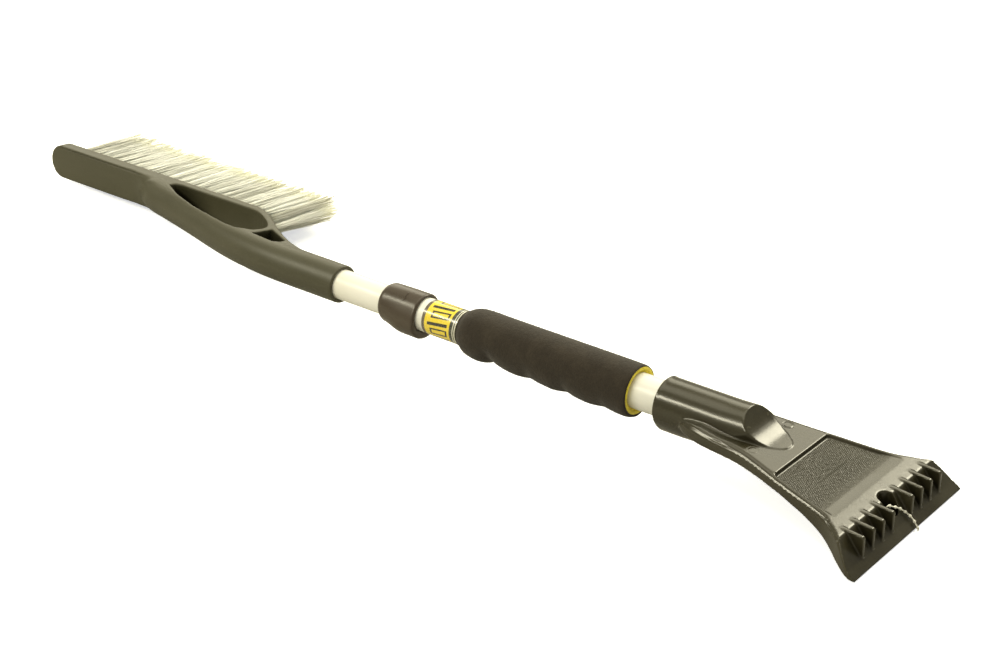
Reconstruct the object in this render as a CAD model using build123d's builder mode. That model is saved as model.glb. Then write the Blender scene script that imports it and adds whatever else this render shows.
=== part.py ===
from build123d import *
import math
import os

os.makedirs("parts", exist_ok=True)

# Telescopic snow brush with an ice scraper. Millimetres, +Z up, +X from the
# brush towards the scraper blade, bristles towards +Y. The origin is the centre
# of the hang hole. A "station" is the distance along the shaft from the lock
# collar's datum, growing towards +X.

# ================================================================= shared dimensions
HOLE_STATION = 337.5        # station of the hang hole
AXIS_Z = 18.6               # height of the shaft axis above the origin
FIT = 0.03                  # radial clearance of a bore round what it holds
PAST = 2.0                  # how far a radial hole runs past the outer surface

# tubes
OUTER_RADIUS, OUTER_WALL = 11.0, 0.8
INNER_RADIUS, INNER_WALL = 10.0, 0.8
OUTER_FROM, OUTER_TO = -8.0, 236.0
INNER_FROM, INNER_TO = -118.0, 168.0
OUTER_BORE = OUTER_RADIUS + FIT     # bore that holds the outer tube

# screws
SCREW_RADIUS = 1.4
SCREW_HOLE_RADIUS = 1.45            # in the moulded pieces
TUBE_HOLE_RADIUS = 1.5              # in the tube walls
HEAD_RADIUS = 3.0
HEAD_ROUND = 0.7
COUNTERBORE_RADIUS, COUNTERBORE_LENGTH = 3.4, 4.0
CROSS_LENGTH, CROSS_WIDTH = 2.6, 0.6
CROSS_CUT = 2.0                     # length of the cut for the cross recess
SCRAPER_SCREW_STATION = 216.0
BRUSH_SCREW_STATION = -92.0

BRUSH_TILT = math.radians(-5.0)     # turn of the brush about the shaft axis


# ================================================================= frames and helpers
def axis_point(station):
    """Point of the shaft axis at a station."""
    return Vector(station - HOLE_STATION, 0, AXIS_Z)


def section(station):
    """Cross section of the shaft, looking along +X, local x across and local y up."""
    return Plane(origin=axis_point(station), x_dir=(0, 1, 0), z_dir=(1, 0, 0))


def plan(height):
    """Horizontal plane at a Z, local x as station and local y as Y."""
    return Plane(origin=(-HOLE_STATION, 0, height), x_dir=(1, 0, 0), z_dir=(0, 0, 1))


def under(station, depth, up=Vector(0, 0, 1)):
    """Plane at a depth under the shaft axis, facing away from `up`."""
    return Plane(origin=axis_point(station) - up * depth, x_dir=(1, 0, 0), z_dir=up * -1)


def mirrored(points):
    """Plan points reflected to the other side of the shaft, in reverse order."""
    return [(station, -y) for station, y in reversed(points)]


# side view, local x as station and local y as height over the shaft axis
SIDE = Plane(origin=axis_point(0), x_dir=(1, 0, 0), z_dir=(0, -1, 0))
SHAFT_AXIS = Axis((0, 0, AXIS_Z), (1, 0, 0))

BRUSH_UP = Vector(0, -math.sin(BRUSH_TILT), math.cos(BRUSH_TILT))
BRUSH_OUT = Vector(0, math.cos(BRUSH_TILT), math.sin(BRUSH_TILT))
# brush plan: local x as station, local y towards the bristles
BRUSH = Plane(origin=axis_point(0), x_dir=(1, 0, 0), z_dir=BRUSH_UP)
# view onto the bristle side: local x as minus station, local y up
BRUSH_FRONT = Plane(origin=axis_point(0), x_dir=(-1, 0, 0), z_dir=BRUSH_OUT)


def brush_point(station, out, up=0):
    """Point in the tilted frame of the brush."""
    return BRUSH.from_local_coords(Vector(station, out, up))


def make_tube(start, end, radius, bore, hole_plane=None):
    """Round tube between two stations, with an optional screw hole in one wall."""
    with BuildPart() as tube:
        with BuildSketch(section(start)):
            Circle(radius)
            Circle(bore, mode=Mode.SUBTRACT)
        extrude(amount=end - start)
        if hole_plane:
            with BuildSketch(hole_plane):
                Circle(TUBE_HOLE_RADIUS)
            extrude(amount=radius + PAST, mode=Mode.SUBTRACT)
    return tube.part


# ================================================================= tubes
outer_tube = make_tube(OUTER_FROM, OUTER_TO, OUTER_RADIUS, OUTER_RADIUS - OUTER_WALL,
                       under(SCRAPER_SCREW_STATION, 0))
inner_tube = make_tube(INNER_FROM, INNER_TO, INNER_RADIUS, INNER_RADIUS - INNER_WALL,
                       under(BRUSH_SCREW_STATION, 0, BRUSH_UP))

# ================================================================= lock collar
COLLAR_FROM, COLLAR_TO = -20.4, 10.9
COLLAR_RADIUS = 13.3
COLLAR_LIP = COLLAR_FROM + 1.6          # inner face of the end lip
COLLAR_SHOULDER = OUTER_FROM - 0.4      # where the tube bore meets the bush pocket
LIP_BORE = INNER_RADIUS + 0.35
SWELL_START, SWELL_START_RADIUS = -19.0, 12.2
SWELL_FROM, SWELL_RADIUS = -3.0, 14.2
SWELL_TO = COLLAR_TO - 0.6
SWELL_CENTRE = (-0.7, -1.6)             # across and up from the shaft axis
BUSH_RADIUS = 11.4
BUSH_BORE = 10.06
BUSH_FROM, BUSH_TO = COLLAR_FROM + 1.7, OUTER_FROM - 0.5
BUSH_CHAMFER = 0.4
BUSH_POCKET = BUSH_RADIUS + FIT

# outer surface, as station and radius
COLLAR_START = (COLLAR_FROM, 11.4)
COLLAR_ROUND_END = (COLLAR_FROM + 2.6, 12.95)
COLLAR_CROWN_END = (COLLAR_TO - 1.2, COLLAR_RADIUS - 0.1)
COLLAR_END = (COLLAR_TO, COLLAR_RADIUS - 1.1)

with BuildPart() as lock_collar:
    with BuildSketch(SIDE):
        with BuildLine():
            Polyline((COLLAR_FROM, LIP_BORE), COLLAR_START)
            ThreePointArc(COLLAR_START, (COLLAR_FROM + 0.9, 12.4), COLLAR_ROUND_END)
            Spline(COLLAR_ROUND_END, (-6.0, COLLAR_RADIUS), COLLAR_CROWN_END)
            ThreePointArc(COLLAR_CROWN_END, (COLLAR_TO - 0.35, COLLAR_RADIUS - 0.45), COLLAR_END)
            Polyline(
                COLLAR_END,
                (COLLAR_TO, OUTER_RADIUS + 0.6),
                (COLLAR_TO - 1.6, OUTER_BORE),
                (COLLAR_SHOULDER, OUTER_BORE),
                (COLLAR_SHOULDER, BUSH_POCKET),
                (COLLAR_LIP, BUSH_POCKET),
                (COLLAR_LIP, LIP_BORE),
                (COLLAR_FROM, LIP_BORE),
            )
        make_face()
    revolve(axis=SHAFT_AXIS)
    # thicker underside: an eccentric swell that grows towards the grip
    with BuildSketch(section(SWELL_START)):
        Circle(SWELL_START_RADIUS)
    with BuildSketch(section(SWELL_FROM)):
        with Locations(SWELL_CENTRE):
            Circle(SWELL_RADIUS)
    loft()
    with BuildSketch(section(SWELL_FROM)):
        with Locations(SWELL_CENTRE):
            Circle(SWELL_RADIUS)
    extrude(amount=SWELL_TO - SWELL_FROM)
    # the swell fills the bores, so they are cut again: outer tube, bush, inner tube
    for start, end, radius in ((COLLAR_SHOULDER, COLLAR_TO + 1, OUTER_BORE),
                               (COLLAR_LIP, COLLAR_SHOULDER, BUSH_POCKET),
                               (COLLAR_FROM - 1, COLLAR_LIP, LIP_BORE)):
        with BuildSketch(section(start)):
            Circle(radius)
        extrude(amount=end - start, mode=Mode.SUBTRACT)

with BuildPart() as guide_bush:
    with BuildSketch(section(BUSH_FROM)):
        Circle(BUSH_RADIUS)
        Circle(BUSH_BORE, mode=Mode.SUBTRACT)
    extrude(amount=BUSH_TO - BUSH_FROM)
    bore_edges = guide_bush.edges().filter_by(GeomType.CIRCLE).group_by(SortBy.RADIUS)[0]
    chamfer(bore_edges, BUSH_CHAMFER)

# ================================================================= twist lock
LOCK_FROM, LOCK_TO = 170.4, 188.0       # ends of the lock ring
SPIGOT_LENGTH, SPIGOT_BORE = 22.0, 4.2
FLANGE_RADIUS, FLANGE_TO = INNER_RADIUS - 0.05, LOCK_FROM - 0.2
CAM_RADIUS = 5.5
CAM_CENTRE = (0, 1.2)                   # across and up from the shaft axis
CAM_FROM, CAM_TO = LOCK_FROM - 0.3, LOCK_TO + 0.2
PILOT_DEPTH, PILOT_CUT = 14.0, 20.0
RING_RADIUS = 10.12
RING_BORE, RING_BORE_CENTRE = 6.98, (0, 0.6)
SPLIT_WIDTH, SPLIT_HEIGHT, SPLIT_CENTRE = 1.8, 8.0, (0, -9)
RING_GROOVE_COUNT, RING_GROOVE_PITCH = 4, 3.6
RING_GROOVE_WIDTH, RING_GROOVE_DEPTH = 1.0, 0.5
CAP_FROM, CAP_THICK = LOCK_TO + 0.22, 2.2
CAP_RADIUS, CAP_HOLE_RADIUS, CAP_CHAMFER = INNER_RADIUS - 0.25, 1.7, 0.3
PLUG_SCREW_TIP = LOCK_TO - 13
PLUG_HEAD_FROM = CAP_FROM + CAP_THICK + 0.03
PLUG_HEAD_HEIGHT, PLUG_CROSS_START = 1.7, 0.75

with BuildPart() as lock_plug:
    # spigot pressed into the inner tube
    with BuildSketch(section(INNER_TO - SPIGOT_LENGTH)):
        Circle(INNER_RADIUS - INNER_WALL)
        Circle(SPIGOT_BORE, mode=Mode.SUBTRACT)
    extrude(amount=SPIGOT_LENGTH)
    # flange against the tube's end
    with BuildSketch(section(INNER_TO)):
        Circle(FLANGE_RADIUS)
    extrude(amount=FLANGE_TO - INNER_TO)
    # eccentric journal
    with BuildSketch(section(CAM_FROM)):
        with Locations(CAM_CENTRE):
            Circle(CAM_RADIUS)
    extrude(amount=CAM_TO - CAM_FROM)
    # pilot bore for the cap's screw
    with BuildSketch(section(LOCK_TO - PILOT_DEPTH)):
        with Locations(CAM_CENTRE):
            Circle(SCREW_HOLE_RADIUS)
    extrude(amount=PILOT_CUT, mode=Mode.SUBTRACT)

with BuildPart() as lock_ring:
    with BuildSketch(section(LOCK_FROM)):
        Circle(RING_RADIUS)
        with Locations(RING_BORE_CENTRE):
            Circle(RING_BORE, mode=Mode.SUBTRACT)
        # the split that lets the ring spread
        with Locations(SPLIT_CENTRE):
            Rectangle(SPLIT_WIDTH, SPLIT_HEIGHT, mode=Mode.SUBTRACT)
    extrude(amount=LOCK_TO - LOCK_FROM)
    # shallow grooves round the ring
    for i in range(1, RING_GROOVE_COUNT + 1):
        with BuildSketch(section(LOCK_FROM + i * RING_GROOVE_PITCH - RING_GROOVE_WIDTH / 2)):
            Circle(RING_RADIUS + 1)
            Circle(RING_RADIUS - RING_GROOVE_DEPTH, mode=Mode.SUBTRACT)
        extrude(amount=RING_GROOVE_WIDTH, mode=Mode.SUBTRACT)

with BuildPart() as plug_cap:
    with BuildSketch(section(CAP_FROM)):
        Circle(CAP_RADIUS)
        with Locations(CAM_CENTRE):
            Circle(CAP_HOLE_RADIUS, mode=Mode.SUBTRACT)
    extrude(amount=CAP_THICK)
    rim_edges = plug_cap.edges().filter_by(GeomType.CIRCLE).group_by(SortBy.RADIUS)[-1]
    chamfer(rim_edges, CAP_CHAMFER)

with BuildPart() as plug_screw:
    with BuildSketch(section(PLUG_SCREW_TIP)):
        with Locations(CAM_CENTRE):
            Circle(SCREW_RADIUS)
    extrude(amount=PLUG_HEAD_FROM - PLUG_SCREW_TIP)
    with BuildSketch(section(PLUG_HEAD_FROM)):
        with Locations(CAM_CENTRE):
            Circle(HEAD_RADIUS)
    extrude(amount=PLUG_HEAD_HEIGHT)
    fillet(plug_screw.edges().filter_by(GeomType.CIRCLE).sort_by(Axis.X)[-1], HEAD_ROUND)
    with BuildSketch(section(PLUG_HEAD_FROM + PLUG_CROSS_START)):
        with Locations(CAM_CENTRE):
            Rectangle(CROSS_LENGTH, CROSS_WIDTH)
            Rectangle(CROSS_WIDTH, CROSS_LENGTH)
    extrude(amount=CROSS_CUT, mode=Mode.SUBTRACT)

# ================================================================= grip and label
LABEL_FROM, LABEL_TO = 16.0, 43.6
GRIP_FROM, GRIP_TO = 44.0, 175.0
GRIP_RADIUS = 15.8
GRIP_BORE = OUTER_RADIUS + 0.3
END_RING_RADIUS, END_RING_LENGTH = 14.7, 6.0
END_RING_FROM = GRIP_TO - END_RING_LENGTH + 0.1
GROOVE_STATIONS = (70.5, 100.5, 129.0, 156.5)
GROOVE_DEPTH = 2.3
GROOVE_CUTTER_RADIUS = 12.0
GROOVE_CUTTER_REACH = 30.0              # each way from the middle
GROOVE_ANGLE = math.radians(-122.5)     # direction of the finger side, from +Y

# outer surface of the grip, as station and radius
GRIP_LINE = [
    (GRIP_FROM, 12.0), (46.5, 13.9), (50.0, 15.2), (55.0, GRIP_RADIUS + 0.1),
    (62.0, GRIP_RADIUS + 0.2), (74.0, GRIP_RADIUS), (120.0, GRIP_RADIUS - 0.1),
    (GRIP_TO - 2, GRIP_RADIUS - 0.1),
]

label_sleeve = make_tube(LABEL_FROM, LABEL_TO, OUTER_RADIUS + 0.24, OUTER_RADIUS + 0.02)

with BuildPart() as foam_grip:
    with BuildSketch(SIDE):
        with BuildLine():
            Polyline((GRIP_FROM, GRIP_BORE), GRIP_LINE[0])
            Spline(*GRIP_LINE)
            # the end near the scraper has a seat for the end ring
            Polyline(
                GRIP_LINE[-1],
                (GRIP_TO, GRIP_RADIUS - 0.8),
                (GRIP_TO, END_RING_RADIUS + 0.05),
                (GRIP_TO - END_RING_LENGTH, END_RING_RADIUS + 0.05),
                (GRIP_TO - END_RING_LENGTH, GRIP_BORE),
                (GRIP_FROM, GRIP_BORE),
            )
        make_face()
    revolve(axis=SHAFT_AXIS)
    # finger grooves: cylinders lying across the shaft cut into the finger side
    finger_side = Vector(0, math.cos(GROOVE_ANGLE), math.sin(GROOVE_ANGLE))
    cutter_offset = finger_side * (GRIP_RADIUS + GROOVE_CUTTER_RADIUS - GROOVE_DEPTH)
    for station in GROOVE_STATIONS:
        with BuildSketch(Plane(origin=axis_point(station) + cutter_offset, x_dir=(1, 0, 0),
                               z_dir=(0, -math.sin(GROOVE_ANGLE), math.cos(GROOVE_ANGLE)))):
            Circle(GROOVE_CUTTER_RADIUS)
        extrude(amount=GROOVE_CUTTER_REACH, both=True, mode=Mode.SUBTRACT)

grip_end_ring = make_tube(END_RING_FROM, END_RING_FROM + END_RING_LENGTH,
                          END_RING_RADIUS, OUTER_RADIUS + 0.05)

# ================================================================= scraper head outlines
BLADE_HALF = 59.7           # half width of the blade
PLATE_THICK = 3.4
LEDGE = 1.5                 # how far the skirt stands out past the skin
SKIRT_DROP = 1.9            # skirt's top below the skin's top
HOLLOW_INSET = 2.6          # hollow's sides inside the skin's outline
HOLLOW_FROM = 262.0
RIB_THICK = 1.8
PANEL_FROM, PANEL_TO = 283.7, 326.0
PANEL_DEPTH = 2.3
PANEL_RISE = 311.0          # station where the panel's floor starts to rise
BLANK_BASE = -20.0          # Z where the upright blanks start
BLANK_HEIGHT = 60.0
REACH = 80.0                # length of trimming extrusions, past the head's edges

# side profiles, as station and height over the shaft axis
TOP_LINE = [
    (212.0, 1.8), (220.0, 3.4), (229.0, 3.9), (264.0, 0.2), (283.0, -2.6),
    (324.0, -8.0), (336.2, -10.7),
]
BLADE_LINE = [(337.2, -11.4), (346.6, -23.3), (352.0, -27.6), (351.6, -28.0), (348.6, -28.0)]
BOTTOM_LINE = [
    (345.0, -27.2), (336.0, -24.6), (330.0, -22.6), (321.0, -19.4), (305.0, -14.4),
    (290.0, -10.9), (275.0, -8.8), (260.0, -7.5), (246.0, -6.2), (212.0, -4.0),
]
# plan outlines of the +Y side, as station and Y
SKIN_PLAN = [
    (212.0, 13.5), (220.0, 18.6), (229.0, 21.4), (244.0, 22.6), (254.0, 23.4), (264.0, 25.2),
    (283.0, 30.2), (303.0, 35.2), (324.0, 42.2), (333.0, 48.3), (341.0, 55.2),
    (348.0, BLADE_HALF - 0.4),
]
SKIRT_PLAN = [(s, y + LEDGE) for s, y in SKIN_PLAN[:-2]] + [(341.0, 55.7), (346.0, 58.6)]
# stations 254 to 324 of the skin, then the hollow's end
HOLLOW_PLAN = [(s, y - HOLLOW_INSET) for s, y in SKIN_PLAN[4:9]] + [(331.5, 44.5)]
PANEL_PLAN = [(PANEL_FROM, 28.2), (PANEL_TO, 38.6)]


def top_height(station):
    """Height of the plate's top face over the shaft axis, at a station."""
    (s0, h0), (s1, h1) = next(
        pair for pair in zip(TOP_LINE, TOP_LINE[1:]) if station <= pair[1][0])
    return h0 + (h1 - h0) * (station - s0) / (s1 - s0)


# the plate's upper skin, to the outline of the top face
with BuildPart() as plate_skin:
    with BuildSketch(plan(BLANK_BASE)):
        with BuildLine():
            Spline(*SKIN_PLAN)
            Polyline(SKIN_PLAN[-1], (352, BLADE_HALF), (352, -BLADE_HALF),
                     mirrored(SKIN_PLAN)[0])
            Spline(*mirrored(SKIN_PLAN))
            Line(mirrored(SKIN_PLAN)[-1], SKIN_PLAN[0])
        make_face()
    extrude(amount=BLANK_HEIGHT)
    with BuildSketch(SIDE):
        with BuildLine():
            Polyline(*TOP_LINE, *BLADE_LINE, *BOTTOM_LINE, TOP_LINE[0])
        make_face()
    extrude(amount=REACH, both=True, mode=Mode.INTERSECT)

# the skirt below it stands a little proud at the sides and carries the side walls
skirt_top = [(s, height - SKIRT_DROP) for s, height in TOP_LINE]
with BuildPart() as plate_skirt:
    with BuildSketch(plan(BLANK_BASE)):
        with BuildLine():
            Spline(*SKIRT_PLAN)
            Line(SKIRT_PLAN[-1], mirrored(SKIRT_PLAN)[0])
            Spline(*mirrored(SKIRT_PLAN))
            Line(mirrored(SKIRT_PLAN)[-1], SKIRT_PLAN[0])
        make_face()
    extrude(amount=BLANK_HEIGHT)
    with BuildSketch(SIDE):
        with BuildLine():
            Polyline(*skirt_top, (346.0, -24.0), (346.0, -27.4), *BOTTOM_LINE, skirt_top[0])
        make_face()
    extrude(amount=REACH, both=True, mode=Mode.INTERSECT)

# the hollow underneath, between the side walls, the socket and the solid blade wedge
with BuildPart() as underside_hollow:
    with BuildSketch(plan(BLANK_BASE)):
        with BuildLine():
            Polyline(*HOLLOW_PLAN, *mirrored(HOLLOW_PLAN), HOLLOW_PLAN[0])
        make_face()
    extrude(amount=BLANK_HEIGHT)
    with BuildSketch(SIDE):
        with BuildLine():
            Polyline(
                (HOLLOW_FROM, top_height(HOLLOW_FROM) - PLATE_THICK),
                (283.0, top_height(283.0) - PLATE_THICK),
                (324.0, top_height(324.0) - PLATE_THICK - 0.6),
                (328.5, -14.5),
                (331.5, -40.0),
                (HOLLOW_FROM, -40.0),
                (HOLLOW_FROM, top_height(HOLLOW_FROM) - PLATE_THICK),
            )
        make_face()
    extrude(amount=REACH, both=True, mode=Mode.INTERSECT)
    # stiffening ribs left standing in the hollow, three lengthwise and one across
    for y in (-14.0, 0.0, 14.0):
        with BuildSketch(plan(BLANK_BASE)):
            with Locations((295, y)):
                Rectangle(80, RIB_THICK)
        extrude(amount=BLANK_HEIGHT, mode=Mode.SUBTRACT)
    with BuildSketch(plan(BLANK_BASE)):
        with Locations((298, 0)):
            Rectangle(RIB_THICK, 130)
    extrude(amount=BLANK_HEIGHT, mode=Mode.SUBTRACT)

# the recessed panel in the top face; its floor rises smoothly towards the blade
PANEL_TOP = 4.0             # height of the cutter's top over the shaft axis
panel_start = (PANEL_FROM, top_height(PANEL_FROM) - PANEL_DEPTH)
panel_rise = (PANEL_RISE, top_height(PANEL_RISE) - PANEL_DEPTH)
panel_end = (PANEL_TO, top_height(PANEL_TO) + 0.01)
with BuildPart() as panel_recess:
    with BuildSketch(plan(0)):
        with BuildLine():
            Polyline(*PANEL_PLAN, *mirrored(PANEL_PLAN), PANEL_PLAN[0])
        make_face()
    extrude(amount=40)
    with BuildSketch(SIDE):
        with BuildLine():
            Line((PANEL_FROM, PANEL_TOP), panel_start)
            Line(panel_start, panel_rise)
            Spline(
                panel_rise,
                (319.0, top_height(319.0) - PANEL_DEPTH + 1.25),
                panel_end,
                tangents=((1, -0.13), (1, -0.1)),
            )
            Polyline(panel_end, (PANEL_TO, PANEL_TOP), (PANEL_FROM, PANEL_TOP))
        make_face()
    extrude(amount=REACH, both=True, mode=Mode.INTERSECT)

# ================================================================= scraper nose
SOCKET_RADIUS = 15.6
SOCKET_FROM = 193.8
NOSE_FROM, NOSE_BLANK_LENGTH = 226.0, 60.0
FACET_START = (250.0, SOCKET_RADIUS)    # ends of the slanted face, station and height
FACET_END = (276.0, -0.95)
NOSE_CLEAR = SOCKET_RADIUS + 1          # height that clears the nose
# +Y side of the plan, as station and Y
NOSE_PLAN = [(NOSE_FROM, 15.7), (239, 15.7), (251, 15.1), (260, 13.2), (267, 10.6), (272, 7.2)]
# underside, as station and height over the shaft axis
NOSE_UNDERSIDE = [(277.5, -0.95), (280, -4.2), (268, -4.6), (256, -6.5), (246, -11.0)]

# the nose closes the socket: a slanted, slightly scooped face that narrows to a tongue
with BuildPart() as nose:
    with BuildSketch(section(NOSE_FROM)):
        Circle(SOCKET_RADIUS)
    extrude(amount=NOSE_BLANK_LENGTH)
    with BuildSketch(plan(BLANK_BASE)):
        with BuildLine():
            Spline(*NOSE_PLAN)
            ThreePointArc(NOSE_PLAN[-1], (276.4, 0), mirrored(NOSE_PLAN)[0])
            Spline(*mirrored(NOSE_PLAN))
            Line(mirrored(NOSE_PLAN)[-1], NOSE_PLAN[0])
        make_face()
    extrude(amount=REACH, mode=Mode.INTERSECT)
    with BuildSketch(SIDE):
        with BuildLine():
            Polyline((NOSE_FROM, NOSE_CLEAR), (FACET_START[0] - 1.2, NOSE_CLEAR), FACET_START)
            ThreePointArc(FACET_START, (260.6, 3.6), FACET_END)
            Polyline(FACET_END, *NOSE_UNDERSIDE, (240, -NOSE_CLEAR), (NOSE_FROM, -NOSE_CLEAR),
                     (NOSE_FROM, NOSE_CLEAR))
        make_face()
    extrude(amount=REACH, both=True, mode=Mode.INTERSECT)

# ================================================================= scraper head
SOCKET_ROUND = 1.2
HANG_RADIUS = 5.85
BOSS_RADIUS, BOSS_BASE, BOSS_HEIGHT = 8.4, -9.2, 4.8
FIN_PITCH, FIN_THICK = 10.6, 2.6
# fin profile, as station and height over the shaft axis
FIN_LINE = [
    (333.2, -9.95), (334.6, -9.9), (346.0, -10.8), (347.1, -11.9), (347.4, -24.6),
    (340.0, -24.0), (333.2, -14.0), (333.2, -9.95),
]
MARK_STATION, MARK_Y = 264.0, 18.0
MARK_RADIUS, MARK_INNER_RADIUS = 3.1, 2.8
# depths under the shaft axis
SCRAPER_SEAT = SOCKET_RADIUS - 2.0      # floor of the counterbore
SCRAPER_HEAD_TOP = SCRAPER_SEAT + 0.05
SCRAPER_SCREW_TIP = OUTER_RADIUS - 0.82
SCRAPER_SHANK_LENGTH = 3.62
SCRAPER_HEAD_HEIGHT, SCRAPER_CROSS_START = 1.8, 1.0

with BuildPart() as scraper_head:
    # socket, overlapping the nose by 1 mm
    with BuildSketch(section(SOCKET_FROM)):
        Circle(SOCKET_RADIUS)
    extrude(amount=NOSE_FROM + 1 - SOCKET_FROM)
    fillet(scraper_head.faces().sort_by(Axis.X)[0].edges(), SOCKET_ROUND)
    add(nose.part)
    add(plate_skin.part)
    add(plate_skirt.part)
    add(underside_hollow.part, mode=Mode.SUBTRACT)
    add(panel_recess.part, mode=Mode.SUBTRACT)
    # tube bore
    with BuildSketch(section(SOCKET_FROM - 2)):
        Circle(OUTER_BORE)
    extrude(amount=OUTER_TO + 0.6 - (SOCKET_FROM - 2), mode=Mode.SUBTRACT)
    # boss under the plate, round the hang hole
    with BuildSketch(Plane.XY.offset(BOSS_BASE)):
        Circle(BOSS_RADIUS)
    extrude(amount=BOSS_HEIGHT)
    # ice-breaking fins on the slope above the blade, none in the middle
    for i in (-4, -3, -2, -1, 1, 2, 3, 4):
        with BuildSketch(SIDE.offset(FIN_THICK / 2 - i * FIN_PITCH)):
            with BuildLine():
                Polyline(*FIN_LINE)
            make_face()
        extrude(amount=-FIN_THICK)
    # hang hole
    with BuildSketch(Plane.XY.offset(-30)):
        Circle(HANG_RADIUS)
    extrude(amount=60, mode=Mode.SUBTRACT)
    # two shallow round marks beside the nose
    for y in (-MARK_Y, MARK_Y):
        with BuildSketch(plan(AXIS_Z - 0.05)):
            with Locations((MARK_STATION, y)):
                Circle(MARK_RADIUS)
                Circle(MARK_INNER_RADIUS, mode=Mode.SUBTRACT)
        extrude(amount=10, mode=Mode.SUBTRACT)
    # hole and counterbore for the tube screw, from below
    with BuildSketch(under(SCRAPER_SCREW_STATION, 0)):
        Circle(SCREW_HOLE_RADIUS)
    extrude(amount=SOCKET_RADIUS + PAST, mode=Mode.SUBTRACT)
    with BuildSketch(under(SCRAPER_SCREW_STATION, SCRAPER_SEAT)):
        Circle(COUNTERBORE_RADIUS)
    extrude(amount=COUNTERBORE_LENGTH, mode=Mode.SUBTRACT)

with BuildPart() as scraper_screw:
    # the shank ends about flush with the bore of the tube
    with BuildSketch(under(SCRAPER_SCREW_STATION, SCRAPER_SCREW_TIP)):
        Circle(SCREW_RADIUS)
    extrude(amount=SCRAPER_SHANK_LENGTH)
    with BuildSketch(under(SCRAPER_SCREW_STATION, SCRAPER_HEAD_TOP)):
        Circle(HEAD_RADIUS)
    extrude(amount=SCRAPER_HEAD_HEIGHT)
    fillet(scraper_screw.edges().filter_by(GeomType.CIRCLE).sort_by(Axis.Z)[0], HEAD_ROUND)
    with BuildSketch(under(SCRAPER_SCREW_STATION, SCRAPER_HEAD_TOP + SCRAPER_CROSS_START)):
        Rectangle(CROSS_LENGTH, CROSS_WIDTH)
        Rectangle(CROSS_WIDTH, CROSS_LENGTH)
    extrude(amount=CROSS_CUT, mode=Mode.SUBTRACT)

# ================================================================= tuft layout
BAR_FRONT = 46.0            # bristle face of the bar, out from the shaft axis
TUFT_RADIUS, TUFT_HOLE_RADIUS = 2.0, 2.05
TUFT_DEPTH = 5.4            # depth of the tuft holes
TUFT_GAP = 1.4              # from a hole's floor to its tuft
TUFT_FREE = 58.4            # tuft length outside the bar
TUFT_FIRST, TUFT_PITCH = -378.0, 9.4
# piece, height over the shaft axis, splay upwards in degrees, shift in pitches, tufts
TUFT_ROWS = (
    ("bristle_row_top", 8.1, 0.0, 0, 23),
    ("bristle_row_upper", 2.7, 0.0, 0.5, 23),
    ("bristle_row_lower", -2.7, -0.5, 0, 23),
    ("bristle_row_bottom", -8.1, -1.5, 0.5, 21),
)
# hole depths by pitches from the first tuft: the last tufts stand in the
# slanted end of the bar, so their holes go further back
END_DEPTHS = {21: 6.0, 21.5: 7.2, 22: 9.4, 22.5: 12.0}


def tuft_groups(shift, count):
    """Tuft places of one row, grouped by hole depth: (depth, places)."""
    groups = {}
    for i in range(count):
        depth = END_DEPTHS.get(i + shift, TUFT_DEPTH)
        groups.setdefault(depth, []).append((TUFT_FIRST + (i + shift) * TUFT_PITCH, 0))
    return list(groups.items())


def row_plane(height, splay, out):
    """Plane across a splayed row, local x as station, `out` past the bar's bristle face."""
    angle = math.radians(splay)
    across, rise = math.cos(angle), math.sin(angle)
    return Plane(origin=brush_point(0, BAR_FRONT + out * across, height + out * rise),
                 x_dir=(1, 0, 0), z_dir=BRUSH_OUT * across + BRUSH_UP * rise)


# ================================================================= brush body
ARM_RADIUS = 12.7
ARM_END_RADIUS = ARM_RADIUS - 0.15
BAR_HALF = 12.85            # half height of the bristle bar
BAR_CENTRE = -0.75          # middle of the bar, above the shaft axis
BAR_BACK = 35.4
BAR_FROM, BAR_TO = -404.0, -190.0
WEB_END = -330.0
# depths under the shaft axis
BRUSH_SEAT = ARM_RADIUS - 1.7           # floor of the counterbore
BRUSH_HEAD_TOP = BRUSH_SEAT + 0.05
BRUSH_SCREW_TIP = INNER_RADIUS - 3.2
BRUSH_SHANK_END = ARM_RADIUS - 1.4
BRUSH_HEAD_HEIGHT = 1.7

# brush plan outlines, as station and distance out towards the bristles
ARM_LINE = [
    (-61.4, 0.0), (-92.0, 0.0), (-122.0, 0.2), (-154.0, 3.5), (-179.0, 8.5),
    (-208.0, 16.4), (-238.0, 24.6), (-266.0, 31.6), (-281.0, 33.8),
]
BIG_SLOT = [
    (-265.8, 34.6), (-264.4, 37.4), (-261.0, 38.7), (-255.0, 38.9), (-245.0, 38.9),
    (-225.0, 38.9), (-205.0, 38.9), (-192.0, 38.9), (-184.5, 38.6), (-176.7, 36.6),
    (-168.3, 32.2), (-158.3, 25.8), (-153.6, 20.8), (-152.0, 16.4), (-153.3, 11.7),
    (-157.5, 6.6), (-163.5, 3.9), (-170.0, 3.6), (-183.3, 5.6), (-200.0, 9.6),
    (-220.0, 14.6), (-233.3, 18.8), (-250.0, 24.6), (-261.0, 30.0),
]
SMALL_SLOT = [(-150.6, 3.2), (-127.4, 1.2), (-124.0, 8.6), (-146.2, 18.6), (-150.6, 3.2)]
STRUT_EDGE = [
    (BAR_TO, BAR_FRONT), (-181.0, 44.4), (-172.5, 40.6), (-163.0, 35.2), (-156.0, 30.4),
    (-149.5, 26.0), (-140.0, 20.4), (-127.0, 13.2), (-114.0, 8.0), (-99.0, 3.4),
]
# part of the arm that would stand out past the bar's bristle face
ARM_TRIM = [
    (-310, BAR_FRONT - 0.2), (-240, BAR_FRONT - 0.2), (-240, 60), (-310, 60),
    (-310, BAR_FRONT - 0.2),
]
SOCKET_MOUTH = ARM_LINE[0][0]
BORE_END = INNER_FROM - 0.4

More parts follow.
